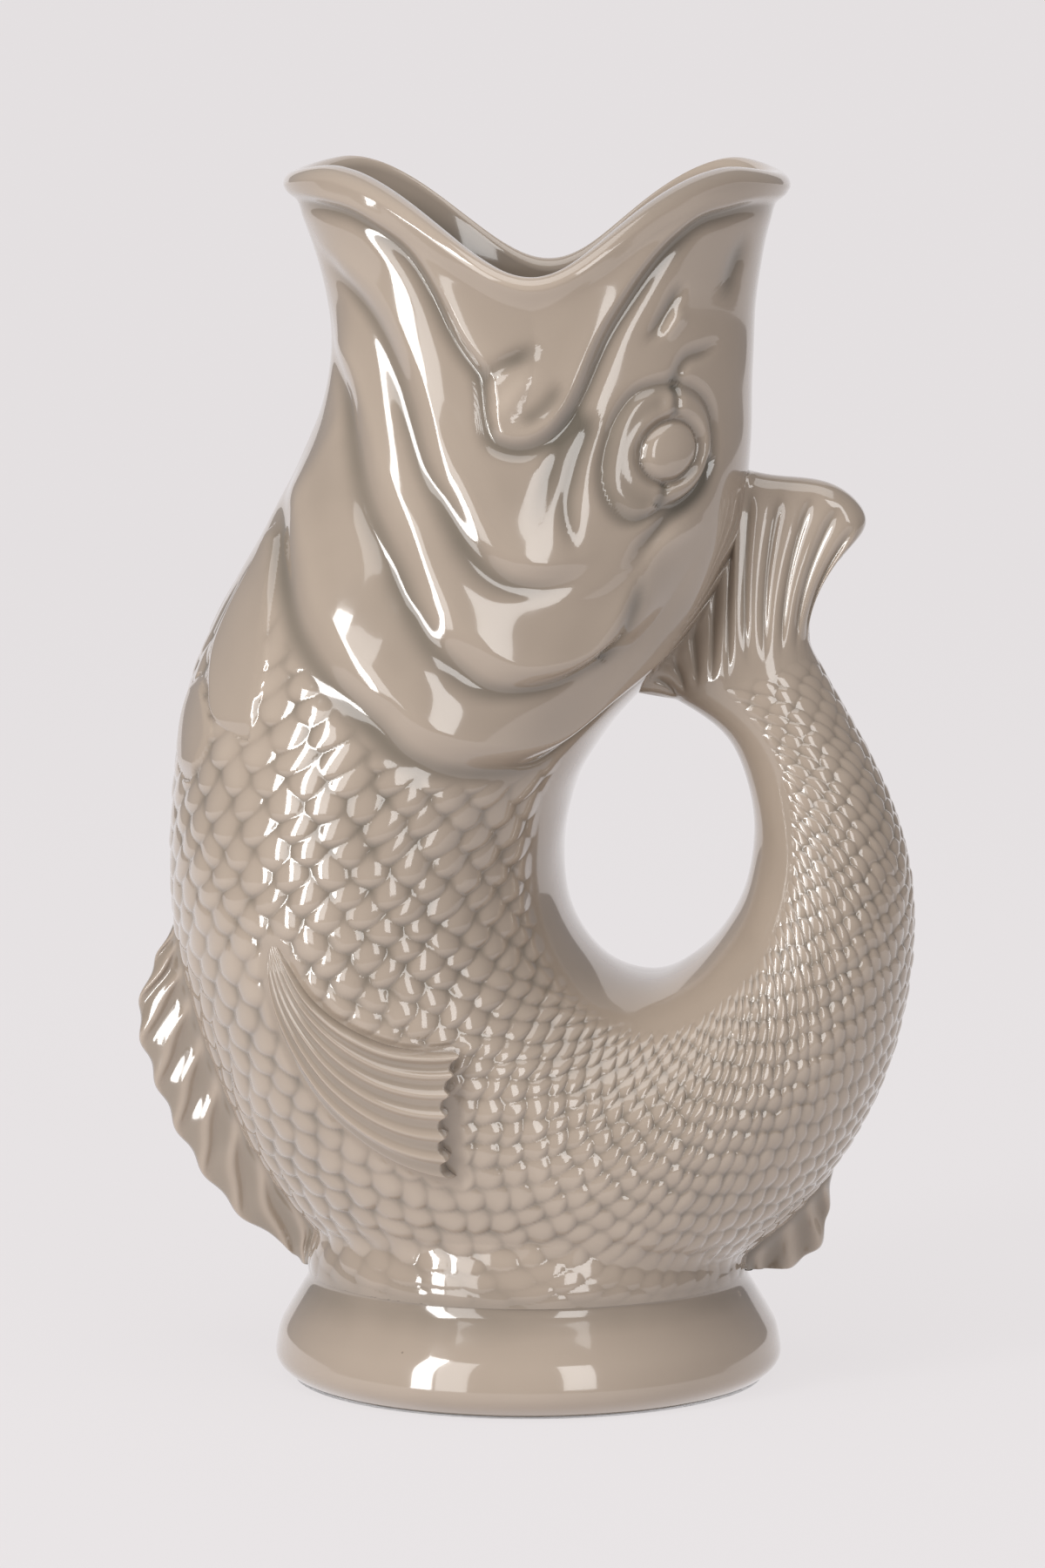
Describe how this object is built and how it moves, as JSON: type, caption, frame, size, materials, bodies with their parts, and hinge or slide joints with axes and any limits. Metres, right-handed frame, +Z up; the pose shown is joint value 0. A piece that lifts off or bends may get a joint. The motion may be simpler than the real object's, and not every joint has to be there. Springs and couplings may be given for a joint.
{
  "type": "gurgle jug",
  "caption": "Fish-shaped gurgle jug: open mouth with two pouring tips, hollow body, tail looped up to the head as a handle, round foot.",
  "frame": {"origin": "middle of the overall box, on the plane that the foot stands on", "axes": "+X from the belly side towards the tail handle, +Y across to the fish's right side, +Z up"},
  "size_m": [0.1596, 0.11, 0.2485],
  "materials": {
    "glaze": "gloss glaze, warm grey-beige, paler on edges and darker in hollows"
  },
  "bodies": {
    "root": {"foot_ring": "glaze", "cove_ring": "glaze", "belly_shell": "glaze", "shoulder_shell": "glaze", "tail_bend": "glaze", "tail_handle": "glaze", "tail_fin": "glaze", "gill_cover": "glaze", "cheek_plate": "glaze", "face_shell": "glaze", "lip_rim": "glaze", "eye_left": "glaze", "eye_right": "glaze", "eyelid_left": "glaze", "eyelid_right": "glaze", "throat_folds_left": "glaze", "throat_folds_right": "glaze", "side_fin_left": "glaze", "side_fin_right": "glaze", "belly_fin": "glaze", "rear_fin": "glaze"}
  },
  "joints": []
}
